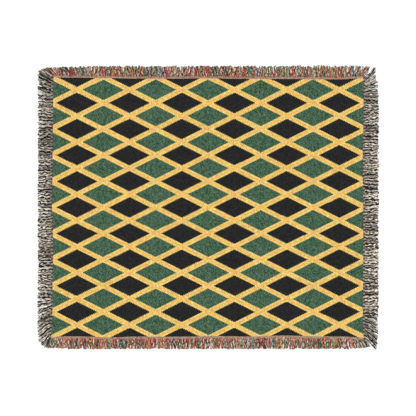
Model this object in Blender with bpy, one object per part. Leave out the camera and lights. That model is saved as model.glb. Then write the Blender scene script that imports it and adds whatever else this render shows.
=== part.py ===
"""A woven cotton throw blanket lying flat: one jacquard-woven panel with its own cut yarn ends as fringe.

Metres, +Z up, +X to the right and +Y to the far side. The origin is on the floor, under the middle
of the whole blanket with its fringe. Each side of the blanket is drawn in its own two directions:
along the side, and outward from the cloth.
"""
import math
import random
from collections import namedtuple

import bmesh
import bpy

# Driving dimensions
OVERALL_WIDTH = 1.524
OVERALL_DEPTH = 1.270
PANEL_WIDTH = 1.387
PANEL_DEPTH = 1.149
CLOTH_THICKNESS = 0.0025
PIECE_GAP = 0.0003
HEADING_WIDTH = 0.006

# The panel's middle lies a little left of the whole blanket's, as the left fringe is the shorter one
PANEL_MIDDLE_X = -0.002

# Locks of fringe
WARP_LOCKS = 80
WEFT_LOCKS = 68
LOCK_STEPS = 3
LOCK_HEIGHT = 0.0042
TIP_HEIGHT = 0.0026
PARTING = 0.0018
TIP_WIDTH_SHARE = 0.78
SHOULDER_SHARE = 0.34
SHORTEST_LOCK = 0.93
SWELL_AT_ROOT = 0.25
BEND_POWER = 1.25

# Neighbouring locks lean together in soft groups of two wavelengths, and bow to one side midway.
# A side's seed shifts its waves and picks its locks' lengths.
LEAN_LONG_WAVE = 0.190
LEAN_LONG = 0.0050
LEAN_SHORT_WAVE = 0.083
LEAN_SHORT = 0.0030
BOW_WAVE = 0.130
BOW = 0.0025
PARTING_SPREAD = 0.040

# The panel's outline has a point at every second lock
LOCKS_PER_EDGE_POINT = 2

# Where the cloth's four corners really lie
FAR_LEFT = (-0.6936, 0.5800)
FAR_RIGHT = (0.6909, 0.5775)
NEAR_RIGHT = (0.6923, -0.5790)
NEAR_LEFT = (-0.7050, -0.5768)

# A row for each bend of a cloth edge: its place along the side, and how far the edge stands out
# from a true rectangle of the panel's size
EdgeRow = namedtuple("EdgeRow", "along outset")
FAR_EDGE = (
    EdgeRow(-0.596, 0.0046),
    EdgeRow(-0.467, 0.0032),
    EdgeRow(-0.340, 0.0008),
    EdgeRow(-0.131, 0.0002),
    EdgeRow(-0.015, 0.0018),
    EdgeRow(0.130, -0.0004),
    EdgeRow(0.333, -0.0012),
    EdgeRow(0.588, -0.0030),
)
NEAR_EDGE = (
    EdgeRow(-0.677, -0.0025),
    EdgeRow(-0.560, -0.0020),
    EdgeRow(-0.440, 0.0024),
    EdgeRow(-0.330, -0.0014),
    EdgeRow(-0.150, -0.0007),
    EdgeRow(0.025, -0.0036),
    EdgeRow(0.180, -0.0015),
    EdgeRow(0.330, -0.0062),
    EdgeRow(0.490, -0.0025),
    EdgeRow(0.620, -0.0010),
)
LEFT_EDGE = (
    EdgeRow(-0.526, 0.0062),
    EdgeRow(-0.440, 0.0022),
    EdgeRow(-0.352, 0.0030),
    EdgeRow(-0.230, 0.0005),
    EdgeRow(-0.080, 0.0014),
    EdgeRow(0.010, 0.0050),
    EdgeRow(0.180, 0.0030),
    EdgeRow(0.345, 0.0012),
    EdgeRow(0.410, -0.0006),
    EdgeRow(0.520, 0.0008),
)
RIGHT_EDGE = (
    EdgeRow(-0.530, -0.0036),
    EdgeRow(-0.260, -0.0020),
    EdgeRow(-0.010, -0.0015),
    EdgeRow(0.170, -0.0040),
    EdgeRow(0.455, 0.0000),
)

# A row for each change of the fringe: how far its tips lie along the side from their roots,
# and how far they stop short of the blanket's full size
TipRow = namedtuple("TipRow", "along sideways short")
FAR_TIPS = (
    TipRow(-0.694, -0.060, 0.019),
    TipRow(-0.672, -0.034, 0.005),
    TipRow(-0.638, -0.022, 0.003),
    TipRow(-0.590, 0.000, 0.000),
    TipRow(0.640, 0.000, 0.000),
    TipRow(0.664, 0.014, 0.003),
    TipRow(0.691, 0.042, 0.006),
)
NEAR_TIPS = (
    TipRow(-0.705, -0.021, 0.003),
    TipRow(-0.677, -0.009, 0.005),
    TipRow(-0.630, 0.000, 0.000),
    TipRow(0.630, 0.000, 0.000),
    TipRow(0.660, 0.020, 0.004),
    TipRow(0.692, 0.040, 0.012),
)
LEFT_TIPS = (
    TipRow(-0.577, -0.053, 0.033),
    TipRow(-0.554, -0.062, 0.016),
    TipRow(-0.515, -0.050, 0.004),
    TipRow(-0.460, -0.026, 0.000),
    TipRow(-0.380, 0.000, 0.000),
    TipRow(0.490, 0.002, 0.000),
    TipRow(0.540, 0.016, 0.002),
    TipRow(0.580, 0.038, 0.006),
)
RIGHT_TIPS = (
    TipRow(-0.579, -0.055, 0.013),
    TipRow(-0.545, -0.046, 0.006),
    TipRow(-0.510, -0.030, 0.002),
    TipRow(-0.470, 0.000, 0.000),
    TipRow(0.500, 0.000, 0.000),
    TipRow(0.545, 0.020, 0.003),
    TipRow(0.578, 0.050, 0.022),
)

# A row for each place where the fringe lies parted: the lock that it follows, and how far apart
# the tips on its two sides lie
PartedRow = namedtuple("PartedRow", "after_lock width")
FAR_PARTED = (PartedRow(23, 0.012), PartedRow(51, 0.007), PartedRow(74, 0.011))
NEAR_PARTED = (PartedRow(14, 0.006), PartedRow(44, 0.007), PartedRow(76, 0.010))
LEFT_PARTED = (PartedRow(15, 0.009), PartedRow(39, 0.006), PartedRow(58, 0.007))
RIGHT_PARTED = (PartedRow(3, 0.009), PartedRow(31, 0.006), PartedRow(55, 0.010), PartedRow(63, 0.008))

# The blanket's sides: two unit directions, the cloth's half size and the whole half size outward,
# the corners that the side runs between, and the tables above
Side = namedtuple(
    "Side",
    "name direction outward panel_reach full_reach start end locks edge tips parted seed",
)
SIDES = (
    Side(
        "warp_fringe_far", (1, 0), (0, 1), PANEL_DEPTH / 2, OVERALL_DEPTH / 2,
        FAR_LEFT, FAR_RIGHT, WARP_LOCKS, FAR_EDGE, FAR_TIPS, FAR_PARTED, 11,
    ),
    Side(
        "warp_fringe_near", (1, 0), (0, -1), PANEL_DEPTH / 2, OVERALL_DEPTH / 2,
        NEAR_LEFT, NEAR_RIGHT, WARP_LOCKS, NEAR_EDGE, NEAR_TIPS, NEAR_PARTED, 12,
    ),
    Side(
        "weft_fringe_left", (0, 1), (-1, 0), PANEL_WIDTH / 2 - PANEL_MIDDLE_X, OVERALL_WIDTH / 2,
        NEAR_LEFT, FAR_LEFT, WEFT_LOCKS, LEFT_EDGE, LEFT_TIPS, LEFT_PARTED, 13,
    ),
    Side(
        "weft_fringe_right", (0, 1), (1, 0), PANEL_WIDTH / 2 + PANEL_MIDDLE_X, OVERALL_WIDTH / 2,
        NEAR_RIGHT, FAR_RIGHT, WEFT_LOCKS, RIGHT_EDGE, RIGHT_TIPS, RIGHT_PARTED, 14,
    ),
)

# Surface colours, linear
CLOTH_COLOUR = (0.12, 0.12, 0.07, 1.0)
WARP_YARN_COLOUR = (0.30, 0.17, 0.13, 1.0)
WEFT_YARN_COLOUR = (0.22, 0.20, 0.17, 1.0)
COTTON_ROUGHNESS = 0.9


def clear_scene():
    """Remove whatever the file holds."""
    for thing in list(bpy.data.objects):
        bpy.data.objects.remove(thing, do_unlink=True)


def make_material(name, colour):
    """A matt cotton of one colour."""
    material = bpy.data.materials.new(name)
    material.use_nodes = True
    shader = material.node_tree.nodes["Principled BSDF"]
    shader.inputs["Base Color"].default_value = colour
    shader.inputs["Roughness"].default_value = COTTON_ROUGHNESS
    shader.inputs["Metallic"].default_value = 0.0
    return material


def eased(rows, column, along):
    """A table's column at a place along the side, going softly from row to row."""
    if along <= rows[0].along:
        return getattr(rows[0], column)
    for before, after in zip(rows, rows[1:]):
        if along <= after.along:
            share = (along - before.along) / (after.along - before.along)
            soft_share = share * share * (3 - 2 * share)
            return getattr(before, column) * (1 - soft_share) + getattr(after, column) * soft_share
    return getattr(rows[-1], column)


def dot(first, second):
    """The product of two flat directions, which measures one along the other."""
    return first[0] * second[0] + first[1] * second[1]


def on_floor(side, along, outward):
    """The (x, y) of a place given along a side and outward from the blanket's middle."""
    x = along * side.direction[0] + outward * side.outward[0]
    y = along * side.direction[1] + outward * side.outward[1]
    return x, y


def station(side, number):
    """How far along the side the boundary before a lock lies."""
    first = dot(side.start, side.direction)
    last = dot(side.end, side.direction)
    return first + (last - first) * number / side.locks


def edge_rows(side):
    """The side's edge table with its two corners added."""
    corners = []
    for corner in (side.start, side.end):
        outset = dot(corner, side.outward) - side.panel_reach
        corners.append(EdgeRow(dot(corner, side.direction), outset))
    return (corners[0], *side.edge, corners[1])


def edge_points(side):
    """The cloth's edge as (along, outward) points, corner to corner."""
    rows = edge_rows(side)
    points = []
    for number in range(0, side.locks + 1, LOCKS_PER_EDGE_POINT):
        along = station(side, number)
        points.append((along, side.panel_reach + eased(rows, "outset", along)))
    return points


def edge_reach(side, along):
    """How far outward the cloth's edge lies: straight between the points of its outline."""
    points = edge_points(side)
    for before, after in zip(points, points[1:]):
        if along <= after[0]:
            share = (along - before[0]) / (after[0] - before[0])
            return before[1] + (after[1] - before[1]) * share
    return points[-1][1]


def root_reach(side, along):
    """How far outward the fringe's locks leave their heading."""
    return edge_reach(side, along) + PIECE_GAP + HEADING_WIDTH


def parted_shift(side, lock, along):
    """The tips on both sides of a parting lean away from it, less and less with the distance."""
    shift = 0.0
    for row in side.parted:
        distance = abs(along - station(side, row.after_lock))
        away = 1 if lock >= row.after_lock else -1
        shift += away * row.width / 2 * math.exp(-distance / PARTING_SPREAD)
    return shift


def tip_shift(side, lock, along):
    """How far along the side a lock's tip lies from its root."""
    long_wave = LEAN_LONG * math.sin(math.tau * along / LEAN_LONG_WAVE + side.seed)
    short_wave = LEAN_SHORT * math.sin(math.tau * along / LEAN_SHORT_WAVE + 2 * side.seed)
    planned = eased(side.tips, "sideways", along)
    return planned + long_wave + short_wave + parted_shift(side, lock, along)


def fringe_point(side, lock, along, share):
    """The floor place of a yarn that roots at `along`, at a share of its length from root to tip."""
    root = root_reach(side, along)
    tip = side.full_reach - eased(side.tips, "short", along)
    bow = BOW * math.sin(math.tau * along / BOW_WAVE) * math.sin(math.pi * share)
    shift = tip_shift(side, lock, along) * share ** BEND_POWER + bow
    return on_floor(side, along + shift, root + (tip - root) * share)


def lock_lengths(side):
    """Each lock's share of the full length at its two edges. The middle one sets the full size."""
    chance = random.Random(side.seed)
    lengths = []
    for _ in range(side.locks):
        lengths.append((chance.uniform(SHORTEST_LOCK, 1.0), chance.uniform(SHORTEST_LOCK, 1.0)))
    lengths[side.locks // 2] = (1.0, 1.0)
    return lengths


def lock_height(share):
    """A lock swells out of the cloth's thickness and thins again to its tip."""
    if share == 0:
        return CLOTH_THICKNESS
    swell = math.sin(math.pi * (SWELL_AT_ROOT + (1 - SWELL_AT_ROOT) * share))
    return TIP_HEIGHT + (LOCK_HEIGHT - TIP_HEIGHT) * swell


def lock_rows(side, lock, lengths):
    """A lock's two edges from root to tip: on the floor, and drawn in by the shoulder on top."""
    middle = (station(side, lock) + station(side, lock + 1)) / 2
    root_half_width = (station(side, lock + 1) - station(side, lock) - PARTING) / 2
    rows = []
    for step in range(LOCK_STEPS + 1):
        share = step / LOCK_STEPS
        half_width = root_half_width * (1 - (1 - TIP_WIDTH_SHARE) * share)
        drawn_in = 0.0 if step == 0 else SHOULDER_SHARE
        row = []
        for hand, length in zip((-1, 1), lengths):
            foot = fringe_point(side, lock, middle + hand * half_width, share * length)
            shoulder_place = middle + hand * half_width * (1 - drawn_in)
            shoulder = fringe_point(side, lock, shoulder_place, share * length)
            row.append((foot, (*shoulder, lock_height(share))))
        rows.append(row)
    return rows


class Plan:
    """A flat drawing of faces on the floor, each point of which also has its place on top."""

    def __init__(self):
        self.feet = []
        self.tops = []
        self.faces = []

    def point(self, foot, top=None):
        """Add a point and give its number. Without a top of its own it is as high as the cloth."""
        self.feet.append((foot[0], foot[1], 0.0))
        self.tops.append(top or (foot[0], foot[1], CLOTH_THICKNESS))
        return len(self.feet) - 1

    def raise_solid(self, name, material):
        """Make the drawing one closed solid that stands on the floor."""
        shape = bmesh.new()
        number = shape.verts.layers.int.new("number")
        corners = []
        for index, foot in enumerate(self.feet):
            corner = shape.verts.new(foot)
            corner[number] = index
            corners.append(corner)
        for face in self.faces:
            shape.faces.new([corners[index] for index in face])
        raised = bmesh.ops.extrude_face_region(shape, geom=shape.faces[:])
        for piece in raised["geom"]:
            if isinstance(piece, bmesh.types.BMVert):
                piece.co = self.tops[piece[number]]
        bmesh.ops.recalc_face_normals(shape, faces=shape.faces[:])
        bmesh.ops.triangulate(shape, faces=shape.faces[:], ngon_method="BEAUTY")
        mesh = bpy.data.meshes.new(name)
        shape.to_mesh(mesh)
        shape.free()
        mesh.materials.append(material)
        solid = bpy.data.objects.new(name, mesh)
        bpy.context.scene.collection.objects.link(solid)
        return solid


def make_panel(material):
    """The woven cloth: one flat sheet inside its uneven outline."""
    far, near, left, right = SIDES
    outline = []
    for side, backwards in ((near, False), (right, False), (far, True), (left, True)):
        places = [on_floor(side, *point) for point in edge_points(side)]
        if backwards:
            places.reverse()
        outline += places[:-1]
    plan = Plan()
    plan.faces.append([plan.point(place) for place in outline])
    return plan.raise_solid("woven_panel", material)


def make_fringe(side, material):
    """One side's heading, a narrow strip along the cloth's edge, with its locks rooted in it."""
    plan = Plan()
    inner = []
    for number in range(side.locks + 1):
        along = station(side, number)
        inner.append(plan.point(on_floor(side, along, edge_reach(side, along) + PIECE_GAP)))
    first, last = station(side, 0), station(side, side.locks)
    outer = [plan.point(on_floor(side, first, root_reach(side, first)))]
    for lock, lengths in enumerate(lock_lengths(side)):
        rows = []
        for row in lock_rows(side, lock, lengths):
            rows.append([plan.point(foot, top) for foot, top in row])
        for (left, right), (next_left, next_right) in zip(rows, rows[1:]):
            plan.faces.append([left, right, next_right, next_left])
        plan.faces.append([inner[lock], inner[lock + 1], rows[0][1], rows[0][0]])
        plan.faces.append([inner[lock], rows[0][0], outer[-1]])
        outer += rows[0]
    outer_end = plan.point(on_floor(side, last, root_reach(side, last)))
    plan.faces.append([inner[-1], outer_end, outer[-1]])
    return plan.raise_solid(side.name, material)


def build():
    """The panel and its four fringes."""
    clear_scene()
    make_panel(make_material("woven_cotton", CLOTH_COLOUR))
    warp_yarn = make_material("warp_yarn", WARP_YARN_COLOUR)
    weft_yarn = make_material("weft_yarn", WEFT_YARN_COLOUR)
    for side in SIDES:
        make_fringe(side, warp_yarn if side.name.startswith("warp") else weft_yarn)


build()
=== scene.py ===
"""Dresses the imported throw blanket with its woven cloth, its fringe of cut yarns and their headings.

Metres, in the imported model's own frame: +Z up, +X to the right and +Y to the far side. Each side of
the blanket is drawn in its own two directions: along the side, and outward from the cloth.
Colours are written as they show on a screen, from 0 to 255, and turned into surface colours.
"""
import math
from collections import namedtuple

import bpy
import numpy as np
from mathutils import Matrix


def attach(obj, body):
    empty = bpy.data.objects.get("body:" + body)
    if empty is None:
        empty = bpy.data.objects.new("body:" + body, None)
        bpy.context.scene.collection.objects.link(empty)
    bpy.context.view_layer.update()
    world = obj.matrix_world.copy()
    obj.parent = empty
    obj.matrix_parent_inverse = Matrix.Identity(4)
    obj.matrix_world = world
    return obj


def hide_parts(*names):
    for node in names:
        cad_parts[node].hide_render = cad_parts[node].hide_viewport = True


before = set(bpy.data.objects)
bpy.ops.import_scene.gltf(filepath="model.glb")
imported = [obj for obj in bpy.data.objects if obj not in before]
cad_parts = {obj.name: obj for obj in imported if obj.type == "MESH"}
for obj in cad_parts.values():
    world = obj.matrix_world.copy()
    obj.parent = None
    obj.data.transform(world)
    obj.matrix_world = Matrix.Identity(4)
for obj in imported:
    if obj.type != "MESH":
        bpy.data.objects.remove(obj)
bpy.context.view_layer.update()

# The camera looks straight down from far off, and takes in this width of the floor
CAMERA_HEIGHT = 6.0
CAMERA_X = -0.0038
CAMERA_Y = -0.0031
CAMERA_SIGHT = 100.0
VIEW_WIDTH = 1.859
SENSOR_WIDTH = 36.0

# Light: an even white room and one broad lamp a little off the vertical
WHITE = (1.0, 1.0, 1.0, 1.0)
ROOM_LIGHT = 0.55
LAMP_STRENGTH = 2.3
LAMP_SPREAD_DEGREES = 35.0
LAMP_TILT_DEGREES = (24.0, -18.0, 0.0)
FLOOR_SIZE = 60.0
FLOOR_DROP = 0.0002
FLOOR_COLOUR = (243, 243, 243)

# How much brighter than its own colour a flat surface shows in that light
LIGHT_GAIN = 1.17

# Dry cotton hardly shines, and its fuzz catches light broadly
SHINE = 0.12
FUZZ_SPREAD = 0.5

# The whole blanket and its cloth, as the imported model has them
OVERALL_WIDTH = 1.524
OVERALL_DEPTH = 1.27
PANEL_WIDTH = 1.387
PANEL_DEPTH = 1.149
CLOTH_THICKNESS = 0.0025
PIECE_GAP = 0.0003

# The cloth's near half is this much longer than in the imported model, which adds 4 mm
NEAR_STRETCH = 1.007

# The cloth's mesh: a grid over the outline with a rounded rim, and a swell on top that would be this
# high where all its waves met
GRID_COLUMNS = 216
GRID_ROWS = 180
RIM_WIDTH = 0.0012
RIM_STEPS = (0.0, 0.12, 0.45, 1.0)
RIM_MAP_STEP = 0.0016
SWELL_HEIGHT = 0.00066
SWELL_WAVES = 9
SWELL_LENGTHS = (0.09, 0.32)
SWELL_SEED = 5

# The cloth's bake map has the back below and the face above
FACE_MAP_FLOOR = 0.185
BACK_MAP_TOP = 0.17
MAP_MARGIN = 0.004

# The lattice of lozenges: the size of one repeat, the middle of a black lozenge, and half a band's
# width as a share of a repeat
REPEAT_X = 0.23447
REPEAT_Y = 0.11668
LOZENGE_X = -0.5892
LOZENGE_Y = 0.4664
BAND_HALF_WIDTH = 0.1

# How far past a band a lozenge's edge colours reach, and how far from a band's middle its own edge
# colours start and have taken over, as shares of a repeat too
LOZENGE_EDGE_WIDTH = 0.09
BAND_EDGE = (0.035, 0.08)

# The weave: warp floats run along Y, each two picks long and half a length off from its neighbours.
# The pattern changes in steps of four ends.
END_PITCH = 0.0019
FLOAT_LENGTH = 0.0038
ENDS_PER_STEP = 4

# A float's crown: where it starts to fall off to the sides and to the ends, from 0 at its middle to
# 0.5 at its edge, what is left at the ends, the painted shade in crevices and painted light on crowns,
# and the roughness in crevices and on crowns
CROWN_SIDE = 0.2
CROWN_END = 0.32
CROWN_LEFT_AT_END = 0.15
CREVICE_SHADE_AND_CROWN_LIGHT = (0.66, 1.21)
CROWN_ROUGHNESS = (0.98, 0.86)
WEAVE_RELIEF = 0.00035

# The twist of a float's yarn: the length of a ply along it, the painted shade in its grooves and
# painted light on its plies, and its share of the weave's relief
CLOTH_PLY_LENGTH = 0.0017
CLOTH_PLY_SHADE_TONES = (0.89, 1.065)
CLOTH_PLY_RELIEF = 0.28

# Tones of the cloth from least to most, in fine and in broad clouds of so many swells a metre, from
# float to float and from end to end. The last two are drawn apart by a number each.
FINE_CLOUD = 130.0
FINE_TONES = (0.9, 1.1)
BROAD_CLOUD = 16.0
BROAD_TONES = (-0.03, 0.03)
FLOAT_TONES = (-0.1, 0.1)
END_TONES = (-0.04, 0.04)
FLOAT_CHANCE = 3.5
END_CHANCE = 7.5

# The span of most of a cloud's values, for fine, for broad and for patchy ones
FINE_SPAN = (0.25, 0.75)
BROAD_SPAN = (0.3, 0.7)
PATCH_SPAN = (0.28, 0.72)

# The relief of the fuzz of fibres beside that of the floats or plies
FIBRE_RELIEF = 0.4

# Bend of the fringe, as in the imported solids
BEND_POWER = 1.25
LEAN_LONG_WAVE = 0.19
LEAN_LONG = 0.005
LEAN_SHORT_WAVE = 0.083
LEAN_SHORT = 0.003
BOW_WAVE = 0.13
BOW = 0.0025
PARTING_SPREAD = 0.04


def table(kind, *rows):
    """A table whose rows are of one kind."""
    return tuple(kind(*row) for row in rows)


# A row for each change of the fringe: how far its tips lie along the side from their roots, and how
# far they stop short of the side's full reach. Below zero they pass it.
TipRow = namedtuple("TipRow", "along sideways short")


def tip_table(*rows):
    """A table of tips, given in millimetres."""
    return table(TipRow, *([value / 1000 for value in row] for row in rows))


FAR_TIPS = tip_table(
    (-694, -62, 11), (-682, -52, 6), (-664, -35, 4), (-632, -19, 4), (-580, 0, 3), (-460, 0, 0),
    (640, 0, -2), (664, 14, -1), (691, 32, 2),
)
NEAR_TIPS = tip_table(
    (-700, -27, 3), (-677, -10, 4), (-630, 0, 0), (630, 0, 0), (660, 18, 4), (692, 33, 9),
)
LEFT_TIPS = tip_table(
    (-581, -46, 46), (-573, -55, 29), (-563, -61, 17), (-551, -60, 8), (-536, -54, 2),
    (-515, -43, 0), (-460, -24, 0), (-380, 0, 0), (390, 0, 0), (450, 6, 0), (490, 14, 0),
    (525, 25, 0), (545, 33, 1), (564, 42, 2), (572, 41, 9), (580, 37, 26),
)
RIGHT_TIPS = tip_table(
    (-583, -65, 10), (-545, -48, 6), (-510, -36, 2), (-488, -24, 4), (-481, -5, 4), (-470, 0, 0),
    (500, 0, 0), (530, 14, 2), (545, 26, 10), (560, 36, 14), (578, 47, 18),
)

# A row for each parting of the fringe: how far along the side's locks, and how far apart the tips on
# its two sides lie
PartedRow = namedtuple("PartedRow", "after_lock width")
FAR_PARTED = table(PartedRow, (23, 0.012), (51, 0.003), (74, 0.011))
NEAR_PARTED = table(PartedRow, (14, 0.003), (44, 0.003), (76, 0.006))
LEFT_PARTED = table(PartedRow, (15, 0.003), (39, 0.003), (58, 0.002))
RIGHT_PARTED = table(PartedRow, (3, 0.009), (31, 0.003), (55, 0.004), (63, 0.003))

# A row for each change of the fringe's brightness along a side
ToneRow = namedtuple("ToneRow", "along gain")
FAR_TONES = table(ToneRow, (0.0, 1.03))
NEAR_TONES = table(ToneRow, (0.0, 1.06))
LEFT_TONES = table(
    ToneRow,
    (-0.585, 0.85), (-0.53, 0.82), (-0.46, 1.02), (-0.3, 1.1), (0.0, 1.0), (0.1, 0.92),
    (0.4, 0.82), (0.56, 0.77), (0.58, 0.69),
)
RIGHT_TONES = table(
    ToneRow,
    (-0.583, 0.75), (-0.55, 0.66), (-0.53, 0.56), (-0.505, 0.56), (-0.492, 0.8), (-0.482, 1.12),
    (-0.15, 1.12), (0.05, 1.0), (0.2, 0.9), (0.5, 0.92), (0.54, 0.64), (0.575, 0.9),
)

# A kind of yarn: how many stand along a side, in how many packed locks, the steps of their mesh,
# their thickness, how they wave, lean and stray, the shortest as a share of the longest, and the share
# of loners, which have a colour of their own
Yarn = namedtuple(
    "Yarn",
    "count locks steps radius root_radius wave wave_length lift_length clump_lean stray shortest loners",
)
WARP_YARN = Yarn(
    count=1200, locks=80, steps=14, radius=0.00118, root_radius=0.00078, wave=0.004,
    wave_length=0.046, lift_length=0.015, clump_lean=0.0052, stray=0.001, shortest=0.84, loners=0.15,
)
WEFT_YARN = Yarn(
    count=780, locks=68, steps=18, radius=0.00138, root_radius=0.00088, wave=0.0027,
    wave_length=0.036, lift_length=0.019, clump_lean=0.0035, stray=0.0008, shortest=0.9, loners=0.08,
)

# The near side's yarns lie closer together and are cut more evenly
NEAR_YARN = WARP_YARN._replace(clump_lean=0.0034, shortest=0.9, loners=0.3)

# A yarn's mesh: its sides and their turns, its tip's thickness, and how its thickness and tone vary
YARN_SIDES = 5
SIDE_TURNS = math.tau * np.arange(YARN_SIDES) / YARN_SIDES
TIP_TAPER = 0.8
RADIUS_SPREAD = (0.88, 1.1)
YARN_TONE_SPREAD = (0.86, 1.12)

# Clumps of yarn: their size, the share of its way to its clump's middle that a tip goes, how their
# yarns wave out of step in radians and differ in height, and how the clumps differ in wave length
CLUMP_LEAST = 3
CLUMP_MOST = 5
DRAW_IN = 0.35
PHASE_STRAY = 0.2
WAVE_SPREAD = (0.7, 1.2)
WAVE_LENGTH_SPREAD = (0.75, 1.3)

# A yarn starts to wave and rise at 0.12 of its way, the delay over the speed, and does so fully from
# 0.32. It strays on its own by a power of its way.
SETTLE_SPEED = 5
SETTLE_DELAY = 0.6
STRAY_POWER = 2.0

# Heights: how far a clump rises at most, how much higher every other yarn lies, how high a yarn lies
# on the floor and out of its heading in radii, and how much of the rise is lost at the tip
CLUMP_LIFT = 0.0019
YARN_LIFT = 0.0003
REST_RADII = 0.98
ROOT_RADII = 1.2
TIP_SINK = 0.5
TIP_SINK_POWER = 4

# Every third yarn lies in an even bed at the bottom, hardly waves, and is more often a deep one: real
# yarn colours, put there also as painted shade under the clumps
BED_EVERY = 3
BED_LOOSENESS = 0.25
BED_LIFT = 0.0005
DEEP_IN_BED = 0.7

# A cell of a yarn's bake map: the margins beside and beyond the yarn, and how far its end caps reach
# to each side, up and down, and lie from the cell's edge, all as shares of the cell
YARN_MAP_COLUMNS = 72
CELL_SIDE = 0.08
CELL_END = 0.1
CAP_HALF_WIDTH = 0.4
CAP_HALF_HEIGHT = 0.03
CAP_LEVEL = 0.04

# The twist of a fringe yarn: its plies, the length of a ply, and the painted shade in its grooves
# and painted light from this height of a ply up
YARN_PLIES = 2.0
PLY_LENGTH = 0.0065
PLY_TOP = 0.75
PLY_SHADE_TONES = (0.62, 1.05)
YARN_RELIEF = 0.00035

# Fibres of a fringe yarn: swells a metre, the way round it in metres, and their tones
FIBRE_CLOUD = 900.0
FIBRE_WAY_ROUND = 0.004
FIBRE_TONES = (0.88, 1.12)

# The look of a kind of yarn: its root's tint, its tip's gain, and the size and strength of its
# patches of painted shade and painted light, where strands pass under and over others. The tint
# fades out, and the gain is full, this far along.
ROOT_TINT_END = 0.03
TIP_GAIN_FULL = 0.07
YarnLook = namedtuple("YarnLook", "root_tint tip_gain patch_x patch_y patch_depth")
WARP_LOOK = YarnLook((1.08, 0.85, 0.83), 1.25, 0.0042, 0.013, 0.5)
WEFT_LOOK = YarnLook((0.88, 0.83, 0.83), 1.2, 0.012, 0.0042, 0.85)

# A row for each colour of yarn: how often it comes, and the colour
ColourRow = namedtuple("ColourRow", "weight red green blue")

# The colours of the floats in each part of the pattern, on the cloth's face and on its back
GREEN_MIDDLE = table(
    ColourRow,
    (5, 70, 100, 76), (4, 102, 122, 104), (4, 50, 88, 56), (3, 82, 116, 80), (2, 66, 96, 100),
    (3, 38, 68, 48),
)
GREEN_EDGE = table(
    ColourRow,
    (5, 62, 104, 76), (4, 44, 92, 60), (3, 58, 104, 94), (3, 88, 120, 98), (3, 38, 72, 54),
)
BLACK = table(
    ColourRow,
    (5, 35, 35, 36), (3, 45, 43, 42), (3, 25, 26, 31), (2, 38, 43, 42), (1, 52, 47, 44),
)
YELLOW_MIDDLE = table(
    ColourRow,
    (5, 250, 200, 108), (4, 240, 180, 94), (3, 255, 222, 138), (2, 232, 178, 118),
)
YELLOW_EDGE = table(
    ColourRow,
    (5, 255, 228, 122), (4, 252, 208, 104), (3, 255, 240, 150), (2, 240, 184, 88),
)
BACK_LIGHT = table(ColourRow, (5, 218, 210, 190), (3, 204, 190, 160), (2, 170, 160, 140))
BACK_MIDDLE = table(ColourRow, (5, 176, 176, 150), (3, 150, 156, 128), (3, 128, 132, 108))
BACK_DARK = table(ColourRow, (5, 70, 62, 52), (3, 96, 80, 58), (2, 120, 98, 62))

Palettes = namedtuple("Palettes", "band band_edge lozenge lozenge_edge other_lozenge")
FACE = Palettes(YELLOW_MIDDLE, YELLOW_EDGE, GREEN_MIDDLE, GREEN_EDGE, BLACK)
BACK = Palettes(BACK_DARK, BACK_DARK, BACK_MIDDLE, BACK_MIDDLE, BACK_LIGHT)

# The colours of the fringe's yarns. Clumps of deep and of pale ones take turns along a side.
WARP_DEEP = table(
    ColourRow,
    (9, 160, 55, 49), (9, 122, 60, 46), (8, 58, 100, 64), (6, 36, 98, 96), (7, 100, 92, 50),
    (10, 58, 42, 34), (2, 66, 82, 110), (6, 42, 42, 44),
)
WARP_PALE = table(
    ColourRow,
    (6, 204, 178, 154), (8, 206, 150, 126), (9, 208, 132, 80), (6, 132, 162, 134),
    (7, 180, 162, 108), (2, 140, 148, 160), (6, 196, 95, 83),
)
WEFT_DEEP = table(ColourRow, (8, 24, 21, 18), (3, 60, 54, 45), (2, 100, 91, 79))
WEFT_PALE = table(ColourRow, (6, 232, 223, 207), (4, 197, 186, 167), (2, 149, 137, 122))

# Painted light on a yarn's root lifts the shadow that the heading casts there: the rings where it
# starts, starts to fade and has gone, and the power of it which the heading takes, as painted light
# too
ROOT_LIGHT_RINGS = (0, 2, 6)
HEADING_LIGHT_POWER = 0.2

# Headings: rows of running stitches over the yarns' roots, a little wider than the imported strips.
# Those of the left and right sides go on round the corners.
HEADING_WIDTH = 0.0084
HEADING_SHORT_OF_CORNER = 0.0004
HEADING_ROWS = 4
STITCH_LENGTH = 0.0027
STEPS_PER_STITCH = 2
STITCHES_OF_ONE_COLOUR = 3
STITCH_RADIUS = 0.00098
STITCH_PINCH = 0.22
STITCH_SWAY = 0.00022
STITCH_UNEVENNESS = 0.00005
STITCH_PLIES = 2
# Painted shade in the grooves of a stitch's plies and painted light from this height of a ply up
STITCH_PLY_TOP = 0.8
STITCH_PLY_SHADE_TONES = (0.74, 1.05)
WEAR_CLOUD = 260.0
WEAR_TONES = (0.9, 1.1)
ROW_TURN = 2.1
HEADING_SEED_STEP = 100
HEADING_MAP_SECTIONS = 30
HEADING_MAP_COLUMNS = 10
WARP_HEADING_INNER = table(ColourRow, (5, 206, 204, 178), (4, 190, 184, 156), (2, 184, 150, 122))
WARP_HEADING_OUTER = table(ColourRow, (5, 214, 184, 165), (4, 197, 160, 143), (3, 186, 112, 97))
WEFT_HEADING_DEEP = table(ColourRow, (4, 48, 42, 38), (2, 90, 78, 72))
WEFT_HEADING_PALE = table(ColourRow, (3, 208, 196, 182), (3, 168, 150, 140))
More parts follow.
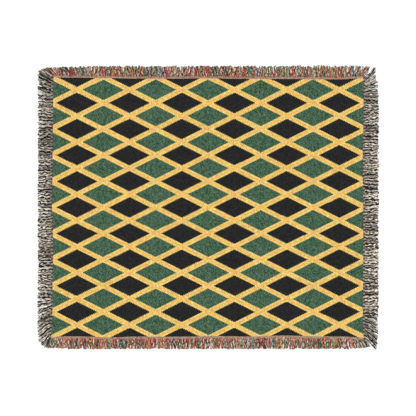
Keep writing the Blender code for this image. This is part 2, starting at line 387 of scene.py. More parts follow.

# The blanket's sides: two unit directions, the full reach outward, which is nearly that of the packed
# model, the tables above, the kind of yarn, its seed, and the painted light on its roots, which lifts
# the shadow that the heading casts there
Side = namedtuple("Side", "name node direction outward full_reach tips parted tones yarn seed root_gain")
SIDES = table(
    Side,
    ("far", "warp_fringe_far", (1, 0), (0, 1), OVERALL_DEPTH / 2 - 0.001,
     FAR_TIPS, FAR_PARTED, FAR_TONES, WARP_YARN, 11, 1.07),
    ("near", "warp_fringe_near", (1, 0), (0, -1), OVERALL_DEPTH / 2 + 0.0006,
     NEAR_TIPS, NEAR_PARTED, NEAR_TONES, NEAR_YARN, 12, 1.44),
    ("left", "weft_fringe_left", (0, 1), (-1, 0), OVERALL_WIDTH / 2 + 0.005,
     LEFT_TIPS, LEFT_PARTED, LEFT_TONES, WEFT_YARN, 13, 1.0),
    ("right", "weft_fringe_right", (0, 1), (1, 0), OVERALL_WIDTH / 2 - 0.0008,
     RIGHT_TIPS, RIGHT_PARTED, RIGHT_TONES, WEFT_YARN, 14, 1.04),
)


def linear(red, green, blue):
    """A screen colour as light amounts from 0 to 1."""
    amounts = []
    for value in (red, green, blue):
        share = value / 255
        amounts.append(share / 12.92 if share <= 0.04045 else ((share + 0.055) / 1.055) ** 2.4)
    return amounts


def surface(red, green, blue):
    """The surface colour that shows as this screen colour in the scene's light."""
    return tuple(min(amount / LIGHT_GAIN, 1.0) for amount in linear(red, green, blue)) + (1.0,)


class Tree:
    """One material's node tree, put together step by step."""

    def __init__(self, name, roughness, sheen):
        self.material = bpy.data.materials.new(name)
        self.material.use_nodes = True
        self.nodes = self.material.node_tree.nodes
        self.links = self.material.node_tree.links
        self.shader = self.nodes["Principled BSDF"]
        names = ("Roughness", "Specular IOR Level", "Sheen Weight", "Sheen Roughness")
        for socket_name, value in zip(names, (roughness, SHINE, sheen, FUZZ_SPREAD)):
            self.shader.inputs[socket_name].default_value = value

    def feed(self, socket, value):
        """Link a socket to another one, or set it to a plain value."""
        if isinstance(value, bpy.types.NodeSocket):
            self.links.new(value, socket)
        else:
            socket.default_value = value

    def fed(self, kind, *values):
        """A new node with its first sockets fed."""
        node = self.nodes.new(kind)
        for socket, value in zip(node.inputs, values):
            self.feed(socket, value)
        return node

    def math(self, operation, *values):
        """One step of arithmetic."""
        node = self.fed("ShaderNodeMath", *values)
        node.operation = operation
        return node.outputs[0]

    def plus(self, first, second):
        """A sum."""
        return self.math("ADD", first, second)

    def minus(self, first, second):
        """A difference."""
        return self.math("SUBTRACT", first, second)

    def times(self, first, *others):
        """A product."""
        for value in others:
            first = self.math("MULTIPLY", first, value)
        return first

    def over(self, first, second):
        """A quotient."""
        return self.math("DIVIDE", first, second)

    def plies(self, turns, plies_a_turn=1):
        """The plies of a twisted yarn: 1 on top of each, and 0 in the grooves between."""
        return self.math("ABSOLUTE", self.math("SINE", self.times(turns, plies_a_turn * math.pi)))

    def span(self, value, low, high, to_low, to_high):
        """A value that goes from low to high, made to go from to_low to to_high."""
        return self.fed("ShaderNodeMapRange", value, low, high, to_low, to_high).outputs[0]

    def vector(self, x, y, z=0):
        """Three numbers as one vector."""
        return self.fed("ShaderNodeCombineXYZ", x, y, z).outputs[0]

    def blend(self, share, first, second, kind="MIX"):
        """Two colours put together."""
        node = self.nodes.new("ShaderNodeMix")
        node.data_type = "RGBA"
        node.blend_type = kind
        self.feed(node.inputs["Factor"], share)
        colour_sockets = [socket for socket in node.inputs if socket.type == "RGBA"]
        self.feed(colour_sockets[0], first)
        self.feed(colour_sockets[1], second)
        return next(socket for socket in node.outputs if socket.type == "RGBA")

    def darken(self, colour, amount):
        """A colour times a number."""
        return self.blend(1.0, colour, self.vector(amount, amount, amount), "MULTIPLY")

    def pick(self, share, colours):
        """One of some colours, each taking its weight's share of 0 to 1."""
        node = self.nodes.new("ShaderNodeValToRGB")
        node.color_ramp.interpolation = "CONSTANT"
        total = sum(row.weight for row in colours)
        stops = node.color_ramp.elements
        start = 0.0
        for number, row in enumerate(colours):
            stop = stops[number] if number < len(stops) else stops.new(start)
            stop.position = start
            stop.color = surface(row.red, row.green, row.blue)
            start += row.weight / total
        self.feed(node.inputs["Fac"], share)
        return node.outputs["Color"]

    def chance(self, *numbers):
        """A number from 0 to 1 that is another one for other numbers."""
        node = self.fed("ShaderNodeTexWhiteNoise", self.vector(*numbers))
        node.noise_dimensions = "3D"
        return node.outputs["Value"]

    def cloud(self, vector, scale, detail=2):
        """Soft noise from 0 to 1 about 0.5, with about `scale` swells a metre."""
        node = self.fed("ShaderNodeTexNoise", vector)
        node.inputs["Scale"].default_value = scale
        node.inputs["Detail"].default_value = detail
        return node.outputs["Fac"]

    def split(self, vector):
        """The first two numbers of a vector."""
        node = self.fed("ShaderNodeSeparateXYZ", vector)
        return node.outputs["X"], node.outputs["Y"]

    def place(self):
        """Where a point lies in the model, in metres."""
        return self.nodes.new("ShaderNodeTexCoord").outputs["Object"]

    def uv(self, name):
        """The two numbers of a UV map."""
        source = self.nodes.new("ShaderNodeUVMap")
        source.uv_map = name
        return self.split(source.outputs["UV"])

    def attribute(self, name):
        """A colour stored with the mesh."""
        node = self.nodes.new("ShaderNodeAttribute")
        node.attribute_name = name
        return node.outputs["Color"]

    def relief(self, height, depth):
        """Bump of a given depth in metres."""
        node = self.nodes.new("ShaderNodeBump")
        node.inputs["Distance"].default_value = depth
        self.feed(node.inputs["Height"], height)
        self.links.new(node.outputs["Normal"], self.shader.inputs["Normal"])

    def finish(self, colour, roughness=None):
        """Give the shader its colour, and its roughness where that varies."""
        self.links.new(colour, self.shader.inputs["Base Color"])
        if roughness is not None:
            self.links.new(roughness, self.shader.inputs["Roughness"])
        return self.material


# A point of the cloth: its place, its float's numbers, the middles of its step of the pattern and of
# its float, and how far over the float's width and length it lies, from -0.5 to 0.5
Spot = namedtuple("Spot", "place end row x y over_width over_length")


def weave_spot(tree):
    """Where a point of the cloth lies in its float."""
    place = tree.place()
    x, y = tree.split(place)
    ends = tree.over(x, END_PITCH)
    end = tree.math("FLOOR", ends)
    over_width = tree.minus(tree.minus(ends, end), 0.5)
    offset = tree.times(tree.math("FLOORED_MODULO", end, 2), 0.5)
    lengths = tree.plus(tree.over(y, FLOAT_LENGTH), offset)
    row = tree.math("FLOOR", lengths)
    over_length = tree.minus(tree.minus(lengths, row), 0.5)
    middle = tree.plus(tree.minus(row, offset), 0.5)
    step = tree.math("FLOOR", tree.over(ends, ENDS_PER_STEP))
    y_middle = tree.times(middle, FLOAT_LENGTH)
    x_middle = tree.times(tree.plus(step, 0.5), END_PITCH * ENDS_PER_STEP)
    return Spot(place, end, row, x_middle, y_middle, over_width, over_length)


def lattice_masks(tree, x, y):
    """Whether a place lies on a band, whether its lozenge is a black one, and its distance from the
    nearest band's middle line as a share of a repeat."""
    across = tree.over(tree.minus(x, LOZENGE_X), REPEAT_X)
    up = tree.over(tree.minus(y, LOZENGE_Y), REPEAT_Y)
    distances, numbers = [], []
    for slant in (tree.plus(across, up), tree.minus(across, up)):
        part = tree.minus(slant, tree.math("FLOOR", slant))
        distances.append(tree.math("ABSOLUTE", tree.minus(part, 0.5)))
        numbers.append(tree.math("ROUND", slant))
    distance = tree.math("MINIMUM", *distances)
    on_band = tree.math("LESS_THAN", distance, BAND_HALF_WIDTH)
    parity = tree.math("FLOORED_MODULO", tree.plus(*numbers), 2)
    is_black = tree.math("LESS_THAN", parity, 0.5)
    return on_band, is_black, distance


def pattern_colour(tree, spot, palettes):
    """The plain colour of a float and its neighbour, picked by the part of the pattern they are in."""
    on_band, is_black, distance = lattice_masks(tree, spot.x, spot.y)
    pair = tree.math("FLOOR", tree.over(spot.end, 2))
    pair_row = tree.math("FLOOR", tree.plus(tree.over(spot.y, FLOAT_LENGTH), 0.25))
    chance = tree.chance(pair, pair_row)
    picked = Palettes(*(tree.pick(chance, palette) for palette in palettes))
    near_band = tree.span(distance, BAND_HALF_WIDTH, BAND_HALF_WIDTH + LOZENGE_EDGE_WIDTH, 1, 0)
    at_band_edge = tree.span(distance, *BAND_EDGE, 0, 1)
    coloured = tree.blend(near_band, picked.lozenge, picked.lozenge_edge)
    filled = tree.blend(is_black, coloured, picked.other_lozenge)
    banded = tree.blend(at_band_edge, picked.band, picked.band_edge)
    return tree.blend(on_band, filled, banded)


def cloth_tone(tree, spot, fine):
    """How bright a place is, which varies in clouds, from float to float and from end to end."""
    broad = tree.cloud(spot.place, BROAD_CLOUD)
    float_chance = tree.chance(spot.end, spot.row, FLOAT_CHANCE)
    end_chance = tree.chance(spot.end, END_CHANCE)
    fine_tone = tree.span(fine, *FINE_SPAN, *FINE_TONES)
    float_tone = tree.span(float_chance, 0, 1, *FLOAT_TONES)
    broad_tone = tree.span(broad, *BROAD_SPAN, *BROAD_TONES)
    end_tone = tree.span(end_chance, 0, 1, *END_TONES)
    return tree.plus(tree.plus(fine_tone, float_tone), tree.plus(broad_tone, end_tone))


def float_crown(tree, spot):
    """1 along the middle of a float, less towards its ends, and 0 in the crevices beside it."""
    beside = tree.math("ABSOLUTE", spot.over_width)
    beyond = tree.math("ABSOLUTE", spot.over_length)
    return tree.times(
        tree.span(beside, CROWN_SIDE, 0.5, 1, 0),
        tree.span(beyond, CROWN_END, 0.5, 1, CROWN_LEFT_AT_END),
    )


def cloth_material(name, palettes):
    """Jacquard cloth: floats of several yarn colours, each with its own tone, crown and twist, and painted
    shade in crevices and grooves, painted light on crowns and plies.
    """
    tree = Tree(name, roughness=0.92, sheen=0.03)
    spot = weave_spot(tree)
    plain = pattern_colour(tree, spot, palettes)
    fine = tree.cloud(spot.place, FINE_CLOUD)
    tone = cloth_tone(tree, spot, fine)
    crown = float_crown(tree, spot)
    # Painted shade in the crevices and painted light on the crowns
    shade = tree.span(crown, 0, 1, *CREVICE_SHADE_AND_CROWN_LIGHT)
    # Painted shade in the grooves of each float's twist and painted light on its plies
    turns = tree.plus(spot.over_width, tree.times(spot.over_length, FLOAT_LENGTH / CLOTH_PLY_LENGTH))
    plies = tree.plies(turns)
    twist = tree.span(plies, 0, 1, *CLOTH_PLY_SHADE_TONES)
    height = tree.plus(crown, tree.times(fine, FIBRE_RELIEF))
    height = tree.plus(height, tree.times(plies, CLOTH_PLY_RELIEF))
    tree.relief(height, WEAVE_RELIEF)
    colour = tree.darken(plain, tree.times(tone, shade, twist))
    return tree.finish(colour, tree.span(crown, 0, 1, *CROWN_ROUGHNESS))


def yarn_material(name, look):
    """Twisted cotton yarn in its stored colour, tinted at the root, with painted shade in its ply grooves
    and patches of painted shade and painted light where strands pass under and over others.
    """
    tree = Tree(name, roughness=0.9, sheen=0.05)
    around, along = tree.uv("yarn")
    x, y = tree.split(tree.place())
    # Patches of painted shade and painted light, where strands pass under and over others
    patch_place = tree.vector(tree.over(x, look.patch_x), tree.over(y, look.patch_y))
    patch = tree.cloud(patch_place, 1, 1)
    # Painted shade in the grooves between the plies and painted light on their tops
    plies = tree.plies(tree.plus(tree.times(around, YARN_PLIES), tree.over(along, PLY_LENGTH)))
    fibres = tree.cloud(tree.vector(tree.times(around, FIBRE_WAY_ROUND), along), FIBRE_CLOUD)
    stored = tree.attribute("yarn_colour")
    tinted = tree.blend(1.0, stored, (*look.root_tint, 1.0), "MULTIPLY")
    plain = tree.blend(tree.span(along, 0, ROOT_TINT_END, 1, 0), stored, tinted)
    gain = tree.times(
        tree.span(fibres, *FINE_SPAN, *FIBRE_TONES),
        tree.span(patch, *PATCH_SPAN, 1 - look.patch_depth, 1 + look.patch_depth),
        tree.span(along, ROOT_TINT_END, TIP_GAIN_FULL, 1, look.tip_gain),
        tree.span(plies, 0, PLY_TOP, *PLY_SHADE_TONES),
    )
    tree.relief(tree.plus(plies, tree.times(fibres, FIBRE_RELIEF)), YARN_RELIEF)
    return tree.finish(tree.darken(plain, gain))


def heading_material(name):
    """Thread of the running stitches that hold the yarns' roots, with painted shade in its ply grooves."""
    tree = Tree(name, roughness=0.9, sheen=0.05)
    around, along = tree.uv("yarn")
    plies = tree.plies(tree.plus(around, tree.over(along, STITCH_LENGTH)), STITCH_PLIES)
    wear = tree.cloud(tree.vector(along, around), WEAR_CLOUD)
    # Painted shade in the ply grooves, and tone that differs at random along the thread
    gain = tree.times(
        tree.span(plies, 0, STITCH_PLY_TOP, *STITCH_PLY_SHADE_TONES),
        tree.span(wear, *FINE_SPAN, *WEAR_TONES),
    )
    tree.relief(plies, YARN_RELIEF)
    return tree.finish(tree.darken(tree.attribute("yarn_colour"), gain))


def cloth_outline():
    """The cloth's outline on the floor, counterclockwise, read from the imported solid."""
    corners = {}
    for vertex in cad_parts["woven_panel"].data.vertices:
        if vertex.co.z < CLOTH_THICKNESS / 2:
            corners[(round(vertex.co.x, 5), round(vertex.co.y, 5))] = vertex.co.xy[:]
    points = np.array(list(corners.values()))
    points[points[:, 1] < 0, 1] *= NEAR_STRETCH
    order = np.argsort(np.arctan2(points[:, 1], points[:, 0]))
    return points[order]


OUTLINE = cloth_outline()


def is_warp(side):
    """Whether a side's yarns are ends of the warp."""
    return side.direction == (1, 0)


def side_edge(side):
    """The cloth's edge along one side: places along it, and their reach."""
    along, reach = OUTLINE @ np.array(side.direction), OUTLINE @ np.array(side.outward)
    sizes = (PANEL_WIDTH, PANEL_DEPTH) if side.direction[0] else (PANEL_DEPTH, PANEL_WIDTH)
    start = int(np.argmax(reach / sizes[1] - along / sizes[0]))
    end = int(np.argmax(reach / sizes[1] + along / sizes[0]))
    count = len(OUTLINE)
    forward = (start + np.arange((end - start) % count + 1)) % count
    backward = (start - np.arange((start - end) % count + 1)) % count
    way = min(forward, backward, key=len)
    return along[way], reach[way]


def root_places(side):
    """How far along the side each yarn's root lies."""
    along, _ = side_edge(side)
    pitch = (along[-1] - along[0]) / side.yarn.count
    return along[0] + (np.arange(side.yarn.count) + 0.5) * pitch


def from_table(rows, column, along):
    """A table's column at places along the side, in even steps from row to row."""
    return np.interp(along, [row.along for row in rows], [getattr(row, column) for row in rows])


def tip_shift(side, along, first, last):
    """How far along the side each yarn's tip lies from its root."""
    shift = from_table(side.tips, "sideways", along)
    shift += LEAN_LONG * np.sin(math.tau * along / LEAN_LONG_WAVE + side.seed)
    shift += LEAN_SHORT * np.sin(math.tau * along / LEAN_SHORT_WAVE + 2 * side.seed)
    for row in side.parted:
        parting = first + (last - first) * row.after_lock / side.yarn.locks
        away = np.where(along >= parting, 0.5, -0.5)
        shift += away * row.width * np.exp(-np.abs(along - parting) / PARTING_SPREAD)
    return shift


def clump_numbers(yarn, chance):
    """The number of the clump that each yarn belongs to."""
    numbers = []
    while len(numbers) < yarn.count:
        size = int(chance.integers(CLUMP_LEAST, CLUMP_MOST + 1))
        numbers += [numbers[-1] + 1 if numbers else 0] * size
    return np.array(numbers[: yarn.count])


def yarns_in_bed(yarn):
    """Which yarns lie evenly at the bottom, under the loose clumps."""
    return np.arange(yarn.count) % BED_EVERY == 0


def clump_waves(clump, wave_length, travelled, chance):
    """A wave from -1 to 1 along each yarn. Those of one clump wave nearly together."""
    clumps = clump[-1] + 1
    phase = chance.uniform(0, math.tau, clumps)[clump] + chance.normal(0, PHASE_STRAY, len(clump))
    own_length = wave_length * chance.uniform(*WAVE_LENGTH_SPREAD, clumps)[clump]
    return np.sin(math.tau * travelled / own_length[:, None] + phase[:, None])


def tips_astray(yarn, clump, root_along, chance):
    """How far along the side each yarn's tip lies astray, mostly with its clump's."""
    clumps = clump[-1] + 1
    clump_middle = np.bincount(clump, root_along, clumps) / np.bincount(clump, minlength=clumps)
    astray = chance.normal(0, yarn.clump_lean, clumps)[clump]
    astray += (clump_middle[clump] - root_along) * DRAW_IN
    astray += chance.normal(0, yarn.stray, yarn.count)
    return astray


def cut_lengths(yarn, clump, chance):
    """Each yarn's length as a share of the longest. Those of one clump are cut nearly alike."""
    shared = chance.uniform(yarn.shortest, 1.0, clump[-1] + 1)[clump]
    return shared * np.sqrt(chance.uniform(yarn.shortest, 1.0, yarn.count))


def yarn_paths(side, chance):
    """The clump of each yarn of one side, and its middle line from under the heading to its tip."""
    yarn = side.yarn
    edge_along, edge_reach = side_edge(side)
    root_along = root_places(side)
    clump = clump_numbers(yarn, chance)
    in_bed = yarns_in_bed(yarn)
    looseness = np.where(in_bed, BED_LOOSENESS, 1.0)
    shift = tip_shift(side, root_along, edge_along[0], edge_along[-1])
    astray = tips_astray(yarn, clump, root_along, chance) * looseness
    start = np.interp(root_along, edge_along, edge_reach) + PIECE_GAP
    root = start + HEADING_WIDTH
    tip = side.full_reach - from_table(side.tips, "short", root_along)
    length = (tip - root) * cut_lengths(yarn, clump, chance)
    beyond = np.linspace(0, 1, yarn.steps) * length[:, None]
    reach = np.concatenate([start[:, None], root[:, None] + beyond], axis=1)
    travelled = reach - start[:, None]
    share = travelled / (tip - start)[:, None]
    settled = np.clip(share * SETTLE_SPEED - SETTLE_DELAY, 0, 1)
    wave = yarn.wave * settled * clump_waves(clump, yarn.wave_length, travelled, chance)
    wave *= (chance.uniform(*WAVE_SPREAD, yarn.count) * looseness)[:, None]
    bow = BOW * np.sin(math.tau * root_along / BOW_WAVE)[:, None] * np.sin(math.pi * share)
    along = root_along[:, None] + shift[:, None] * share ** BEND_POWER + bow + wave
    along += astray[:, None] * share ** STRAY_POWER
    lift = CLUMP_LIFT * (clump_waves(clump, yarn.lift_length, travelled, chance) + 1) / 2
    lift += (np.arange(yarn.count) % 2)[:, None] * YARN_LIFT
    lift = np.where(in_bed[:, None], BED_LIFT, lift) * settled
    height = yarn.radius * REST_RADII + lift * (1 - TIP_SINK * share ** TIP_SINK_POWER)
    height[:, 0] = yarn.root_radius
    height[:, 1] = yarn.root_radius * ROOT_RADII
    return clump, place_paths(side, along, reach, height)


def place_paths(side, along, reach, height):
    """Paths given along and outward from a side, as points of the model."""
    direction, outward = side.direction, side.outward
    x = along * direction[0] + reach * outward[0]
    y = along * direction[1] + reach * outward[1]
    return np.stack([x, y, height], axis=-1)


def yarn_radii(yarn):
    """A yarn's radius from its start under the heading to its tip."""
    radii = np.full(yarn.steps + 1, yarn.radius)
    radii[:2] = yarn.root_radius
    radii[2] = (yarn.radius + yarn.root_radius) / 2
    radii[-1] = yarn.radius * TIP_TAPER
    return radii


def picked_paints(colours, count, chance):
    """Surface colours picked from a table by their weights."""
    weights = np.array([row.weight for row in colours], float)
    paints = np.array([surface(row.red, row.green, row.blue) for row in colours])
    return paints[chance.choice(len(colours), size=count, p=weights / weights.sum())]


def group_colours(palettes, groups, chance):
    """A surface colour for each member of each group. Groups take the palettes in turn."""
    turn = groups % len(palettes)
    shared = np.stack([picked_paints(colours, groups[-1] + 1, chance) for colours in palettes])
    picked = shared[turn, groups]
    picked[:, :3] *= chance.uniform(*YARN_TONE_SPREAD, (len(groups), 1))
    return picked


def yarn_colours(yarn, palettes, clump, chance):
    """A surface colour for each yarn: its clump's, or its own in the bed and for the loners."""
    colours = group_colours(palettes, clump, chance)
    deep, pale = (picked_paints(palette, yarn.count, chance) for palette in palettes)
    # Bed yarns and loners get their own colour, more often deep, which in the bed is also painted shade
    # under the clumps
    own = np.where((chance.random(yarn.count) < DEEP_IN_BED)[:, None], deep, pale)
    is_alone = yarns_in_bed(yarn) | (chance.random(yarn.count) < yarn.loners)
    return np.where(is_alone[:, None], own, colours)


def tube_vertices(paths, radii):
    """Rings of points round each path, as (tube, step, side, 3)."""
    tangent = np.gradient(paths, axis=1)
    tangent /= np.linalg.norm(tangent, axis=2, keepdims=True)
    hand = np.cross(tangent, (0, 0, 1))
    hand /= np.linalg.norm(hand, axis=2, keepdims=True)
    rise = np.cross(hand, tangent)
    turn = SIDE_TURNS + math.pi / 2
    ring = np.cos(turn)[:, None] * hand[:, :, None, :] + np.sin(turn)[:, None] * rise[:, :, None, :]
    return paths[:, :, None, :] + ring * radii[:, :, None, None]


def make_mesh(name, points, corners, sizes):
    """A smooth mesh from its points, the corners of all its faces in a row, and each face's count."""
    mesh = bpy.data.meshes.new(name)
    mesh.vertices.add(points.size // 3)
    mesh.vertices.foreach_set("co", points.ravel())
    mesh.loops.add(len(corners))
    mesh.loops.foreach_set("vertex_index", corners)
    mesh.polygons.add(len(sizes))
    mesh.polygons.foreach_set("loop_start", np.cumsum(sizes) - sizes)
    mesh.polygons.foreach_set("loop_total", sizes)
    mesh.update(calc_edges=True)
    mesh.polygons.foreach_set("use_smooth", np.ones(len(sizes), bool))
    return mesh


def add_map(mesh, name, places):
    """A UV map from a row of places, one for each corner."""
    mesh.uv_layers.new(name=name).data.foreach_set("uv", places.ravel())


def add_object(name, data):
    """A new object in the scene."""
    made = bpy.data.objects.new(name, data)
    bpy.context.scene.collection.objects.link(made)
    return made


def add_piece(mesh, materials, node):
    """A mesh as a piece of the blanket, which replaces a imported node."""
    for material in materials:
        mesh.materials.append(material)
    mesh.validate()
    piece = add_object(mesh.name, mesh)
    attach(piece, "root")
    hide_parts(node)
    return piece


def tube_mesh(name, paths, radii, colours, map_columns, map_sections=1):
    """One mesh of closed tubes, with a colour for each ring, a map for patterns and one for baking."""
    tubes, steps, sides = *paths.shape[:2], YARN_SIDES
    tube, step, side = np.indices((tubes, steps - 1, sides)).reshape(3, -1)
    sizes = np.repeat([4, sides], [len(tube), 2 * tubes])
    mesh = make_mesh(name, tube_vertices(paths, radii), tube_corners(tubes, steps, tube, step, side), sizes)
    around = np.stack([side, side + 1, side + 1, side], axis=1) / sides
    add_map(mesh, "yarn", tube_pattern_map(paths, tube, step, around))
    add_map(mesh, "OFBake", tube_bake_map(tubes, steps, tube, step, around, map_columns, map_sections))
    stored = mesh.color_attributes.new("yarn_colour", "FLOAT_COLOR", "POINT")
    stored.data.foreach_set("color", np.repeat(colours.reshape(-1, 4), sides, axis=0).ravel())
    return mesh


def tube_corners(tubes, steps, tube, step, side):
    """The corners of the walls of all the tubes, then of their first and last caps."""
    point = np.arange(tubes * steps * YARN_SIDES).reshape(tubes, steps, YARN_SIDES)
    following = (side + 1) % YARN_SIDES
    lower = [point[tube, step, side], point[tube, step, following]]
    upper = [point[tube, step + 1, following], point[tube, step + 1, side]]
    walls = np.stack(lower + upper, axis=1)
    return np.concatenate([walls.ravel(), point[:, 0, ::-1].ravel(), point[:, -1].ravel()])


def tube_pattern_map(paths, tube, step, around):
    """How far round its tube each corner lies, and how far along it in metres."""
    travelled = np.zeros(paths.shape[:2])
    travelled[:, 1:] = np.cumsum(np.linalg.norm(np.diff(paths, axis=1), axis=2), axis=1)
    start, end = travelled[tube, step], travelled[tube, step + 1]
    along = np.stack([start, start, end, end], axis=1)
    cap_around = np.tile(0.5 + CAP_HALF_WIDTH * np.cos(SIDE_TURNS), 2 * len(paths))
    cap_along = np.repeat(np.concatenate([travelled[:, 0], travelled[:, -1]]), YARN_SIDES)
    return np.stack(
        [np.concatenate([around.ravel(), cap_around]), np.concatenate([along.ravel(), cap_along])],
        axis=1,
    )


def tube_bake_map(tubes, steps, tube, step, around, columns, sections):
    """A cell of the unit square for each section of each tube, with its end caps in the margins."""
    steps_a_section = math.ceil((steps - 1) / sections)
    rows = math.ceil(tubes * sections / columns)
    section = step // steps_a_section
    cell = tube * sections + section
    step_in = step - section * steps_a_section
    along = np.stack([step_in, step_in, step_in + 1, step_in + 1], axis=1) / steps_a_section
    u_parts = [(cell % columns)[:, None] + CELL_SIDE + (1 - 2 * CELL_SIDE) * around]
    v_parts = [(cell // columns)[:, None] + CELL_END + (1 - 2 * CELL_END) * along]
    first_cells = np.arange(tubes) * sections
    for cells, level in ((first_cells, CAP_LEVEL), (first_cells + sections - 1, 1 - CAP_LEVEL)):
        u_parts.append((cells % columns)[:, None] + 0.5 + CAP_HALF_WIDTH * np.cos(SIDE_TURNS))
        v_parts.append((cells // columns)[:, None] + level + CAP_HALF_HEIGHT * np.sin(SIDE_TURNS))
    u = np.concatenate([part.ravel() for part in u_parts]) / columns
    v = np.concatenate([part.ravel() for part in v_parts]) / rows
    return np.stack([u, v], axis=1)


def make_fringe(side, material):
    """One side's cut yarns, which replace its packed locks."""
    chance = np.random.default_rng(side.seed)
    clump, paths = yarn_paths(side, chance)
    yarn = side.yarn
    palettes = (WARP_DEEP, WARP_PALE) if is_warp(side) else (WEFT_DEEP, WEFT_PALE)
    colours = yarn_colours(yarn, palettes, clump, chance)
    thickness = chance.uniform(*RADIUS_SPREAD, (yarn.count, 1))
    radii = yarn_radii(yarn) * thickness
    # Painted light near each root, which lifts the shadow that the heading casts there
    root_lights = (side.root_gain, side.root_gain, 1.0)
    ring_painted_light = np.interp(np.arange(paths.shape[1]), ROOT_LIGHT_RINGS, root_lights)
    tones = from_table(side.tones, "gain", root_places(side))
    ring_colours = np.repeat(colours[:, None, :], paths.shape[1], axis=1)
    ring_colours[..., :3] *= (tones[:, None] * ring_painted_light)[..., None]
    mesh = tube_mesh(f"{side.name}_fringe_yarns", paths, radii, ring_colours, YARN_MAP_COLUMNS)
    return add_piece(mesh, [material], side.node)


def make_heading(side, material):
    """The rows of running stitches over the roots of one side's yarns."""
    chance = np.random.default_rng(side.seed + HEADING_SEED_STEP)
    edge_along, edge_reach = side_edge(side)
    past_corner = -HEADING_SHORT_OF_CORNER if is_warp(side) else HEADING_WIDTH
    start, end = edge_along[0] - past_corner, edge_along[-1] + past_corner
    steps = int((end - start) / STITCH_LENGTH) * STEPS_PER_STITCH + 1
    along = np.linspace(start, end, steps)
    edge = np.interp(along, edge_along, edge_reach)
    row_width = HEADING_WIDTH / HEADING_ROWS
    number = np.arange(steps)
    groups = number // (STEPS_PER_STITCH * STITCHES_OF_ONE_COLOUR)
    paths, radii, colours = [], [], []
    for row in range(HEADING_ROWS):
        warp_palette = WARP_HEADING_INNER if row == 0 else WARP_HEADING_OUTER
        palettes = (warp_palette,) if is_warp(side) else (WEFT_HEADING_DEEP, WEFT_HEADING_PALE)
        sway = STITCH_SWAY * np.sin(math.pi * number / STEPS_PER_STITCH + row * ROW_TURN)
        reach = edge + PIECE_GAP + (row + 0.5) * row_width + sway
        height = CLOTH_THICKNESS - STITCH_RADIUS + chance.normal(0, STITCH_UNEVENNESS, steps)
        paths.append(place_paths(side, along, reach, height))
        radii.append(STITCH_RADIUS * (1 - STITCH_PINCH * np.roll(number % 2, row)))
        paint = group_colours(palettes, groups, chance)
        # The heading takes a little of its side's painted root light
        paint[:, :3] *= side.root_gain ** HEADING_LIGHT_POWER
        colours.append(paint)
    mesh = tube_mesh(
        f"{side.name}_heading", np.array(paths), np.array(radii), np.array(colours),
        HEADING_MAP_COLUMNS, HEADING_MAP_SECTIONS,
    )
    return add_piece(mesh, [material], side.node)


def with_rims(rim, count):
    """Places from 0 to 1: those of a rim, even ones, and the rim's again from the other end."""
    inner = np.linspace(rim[-1], 1 - rim[-1], count - 2 * len(rim) + 3)
    return np.concatenate([rim[:-1], inner, [1 - step for step in rim[-2::-1]]])


def grid_shares(count, size):
    """Places across the cloth from 0 to 1, close together at the rim, and their places on the map."""
    rim = [RIM_WIDTH * step / size for step in RIM_STEPS]
    rim_map = [RIM_MAP_STEP * number for number in range(len(RIM_STEPS))]
    return with_rims(rim, count), with_rims(rim_map, count)


def edge_line(side, shares):
    """Points of the cloth's edge at shares of the side's length, in the model's x and y."""
    along, reach = side_edge(side)
    place = along[0] + (along[-1] - along[0]) * shares
    found = np.interp(place, along, reach)
    return place_paths(side, place, found, np.zeros(len(shares)))[:, :2]


def cloth_grid(across, up):
    """The x and y of a grid over the cloth: rows from near to far, straight between its edges."""
    far, near, left, right = SIDES
    near_line, far_line = edge_line(near, across), edge_line(far, across)
    left_line, right_line = edge_line(left, up), edge_line(right, up)
    s, t = across[:, None], up[:, None, None]
    between_rows = (1 - t) * near_line + t * far_line
    between_columns = (1 - s) * left_line[:, None] + s * right_line[:, None]
    near_corners = (1 - s) * near_line[0] + s * near_line[-1]
    far_corners = (1 - s) * far_line[0] + s * far_line[-1]
    return between_rows + between_columns - ((1 - t) * near_corners + t * far_corners)


def swell(grid):
    """The slight rise and fall of the cloth's face."""
    chance = np.random.default_rng(SWELL_SEED)
    rise = np.zeros(grid.shape[:2])
    for _ in range(SWELL_WAVES):
        turn = chance.uniform(0, math.pi)
        wave_length = chance.uniform(*SWELL_LENGTHS)
        phase = chance.uniform(0, math.tau)
        run = grid[..., 0] * math.cos(turn) + grid[..., 1] * math.sin(turn)
        rise += np.sin(math.tau * run / wave_length + phase)
    return rise / SWELL_WAVES * SWELL_HEIGHT


def cloth_heights(grid, across, up):
    """The heights of the cloth's face and of its back over its grid. They meet in the rim."""
    from_side = np.minimum(across, 1 - across) * PANEL_WIDTH
    from_end = np.minimum(up, 1 - up)[:, None] * PANEL_DEPTH
    from_rim = np.minimum(from_side, from_end)
    rounding = np.sqrt(1 - (1 - np.clip(from_rim / RIM_WIDTH, 0, 1)) ** 2)
    half = CLOTH_THICKNESS / 2
    return half + (half + swell(grid)) * rounding, half - half * rounding


def cloth_bake_map(map_across, map_up, corners):
    """The places on the bake map of the face's corners and then of the back's."""
    map_u, map_v = np.meshgrid(map_across, map_up)
    u = (MAP_MARGIN + map_u * (1 - 2 * MAP_MARGIN)).ravel()[corners]
    face_v = (FACE_MAP_FLOOR + map_v * (1 - MAP_MARGIN - FACE_MAP_FLOOR)).ravel()[corners]
    back_v = (MAP_MARGIN + map_v * (BACK_MAP_TOP - MAP_MARGIN)).ravel()[corners]
    return np.concatenate([np.stack([u, face_v], axis=2), np.stack([u, back_v], axis=2)[:, ::-1]])


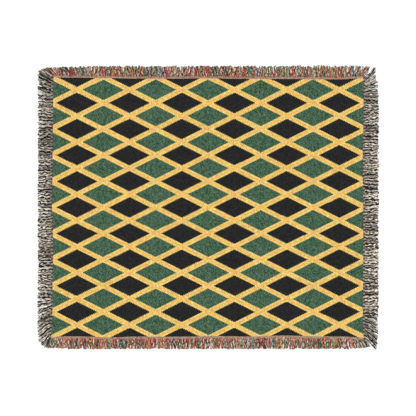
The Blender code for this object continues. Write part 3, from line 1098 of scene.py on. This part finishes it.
def make_cloth(face_material, back_material):
    """The woven cloth: a face and a back that meet in a rounded rim."""
    across, map_across = grid_shares(GRID_COLUMNS, PANEL_WIDTH)
    up, map_up = grid_shares(GRID_ROWS, PANEL_DEPTH)
    grid = cloth_grid(across, up)
    top, bottom = cloth_heights(grid, across, up)
    is_inner = np.zeros(top.shape, bool)
    is_inner[1:-1, 1:-1] = True
    face_points = np.concatenate([grid, top[..., None]], axis=2).reshape(-1, 3)
    back_points = np.concatenate([grid, bottom[..., None]], axis=2)[is_inner]
    face_number = np.arange(top.size).reshape(top.shape)
    back_number = face_number.copy()
    back_number[is_inner] = top.size + np.arange(len(back_points))
    face_quads = grid_quads(face_number)
    quads = np.concatenate([face_quads, grid_quads(back_number)[:, ::-1]])
    points = np.concatenate([face_points, back_points])
    mesh = make_mesh("jacquard_cloth", points, quads.ravel(), np.full(len(quads), 4))
    mesh.polygons.foreach_set("material_index", np.repeat([0, 1], len(face_quads)))
    add_map(mesh, "OFBake", cloth_bake_map(map_across, map_up, face_quads))
    return add_piece(mesh, [face_material, back_material], "woven_panel")


def grid_quads(number):
    """The squares of a grid of numbered points, counterclockwise from above."""
    corners = [number[:-1, :-1], number[:-1, 1:], number[1:, 1:], number[1:, :-1]]
    return np.stack([corner.ravel() for corner in corners], axis=1)


def make_floor():
    """A plain pale floor."""
    tree = Tree("pale_floor", roughness=0.95, sheen=0.0)
    tree.shader.inputs["Base Color"].default_value = (*linear(*FLOOR_COLOUR), 1.0)
    half = FLOOR_SIZE / 2
    corners = [(-half, -half, 0), (half, -half, 0), (half, half, 0), (-half, half, 0)]
    mesh = bpy.data.meshes.new("floor")
    mesh.from_pydata(corners, [], [(0, 1, 2, 3)])
    mesh.materials.append(tree.material)
    floor = add_object("floor", mesh)
    floor.location.z = -FLOOR_DROP


def make_light():
    """An even white room, which itself shows white, and one broad lamp."""
    world = bpy.data.worlds.new("studio")
    world.use_nodes = True
    nodes, links = world.node_tree.nodes, world.node_tree.links
    room = nodes["Background"]
    room.inputs["Color"].default_value = WHITE
    room.inputs["Strength"].default_value = ROOM_LIGHT
    seen = nodes.new("ShaderNodeBackground")
    seen.inputs["Color"].default_value = WHITE
    path = nodes.new("ShaderNodeLightPath")
    mix = nodes.new("ShaderNodeMixShader")
    links.new(path.outputs["Is Camera Ray"], mix.inputs[0])
    links.new(room.outputs[0], mix.inputs[1])
    links.new(seen.outputs[0], mix.inputs[2])
    links.new(mix.outputs[0], nodes["World Output"].inputs["Surface"])
    bpy.context.scene.world = world
    lamp = bpy.data.lights.new("broad_lamp", "SUN")
    lamp.energy = LAMP_STRENGTH
    lamp.angle = math.radians(LAMP_SPREAD_DEGREES)
    holder = add_object("broad_lamp", lamp)
    holder.rotation_euler = [math.radians(angle) for angle in LAMP_TILT_DEGREES]


def make_camera():
    """A long lens straight above the blanket."""
    lens = bpy.data.cameras.new("camera")
    lens.sensor_width = SENSOR_WIDTH
    lens.lens = SENSOR_WIDTH * CAMERA_HEIGHT / VIEW_WIDTH
    lens.clip_end = CAMERA_SIGHT
    camera = add_object("camera", lens)
    camera.location = (CAMERA_X, CAMERA_Y, CAMERA_HEIGHT)
    bpy.context.scene.camera = camera


def show_true_colours():
    """Light amounts go to the screen as they are, without a film-like curve."""
    view = bpy.context.scene.view_settings
    view.view_transform = "Standard"
    view.look = "None"
    view.exposure = 0.0
    view.gamma = 1.0


def build():
    """The blanket, its floor, its light and its camera."""
    show_true_colours()
    make_camera()
    make_light()
    make_floor()
    face = cloth_material("jacquard_face", FACE)
    back = cloth_material("jacquard_back", BACK)
    warp = yarn_material("warp_fringe_yarn", WARP_LOOK)
    weft = yarn_material("weft_fringe_yarn", WEFT_LOOK)
    heading = heading_material("heading_thread")
    cloth = make_cloth(face, back)
    for side in SIDES:
        make_fringe(side, warp if is_warp(side) else weft)
        make_heading(side, heading)


build()
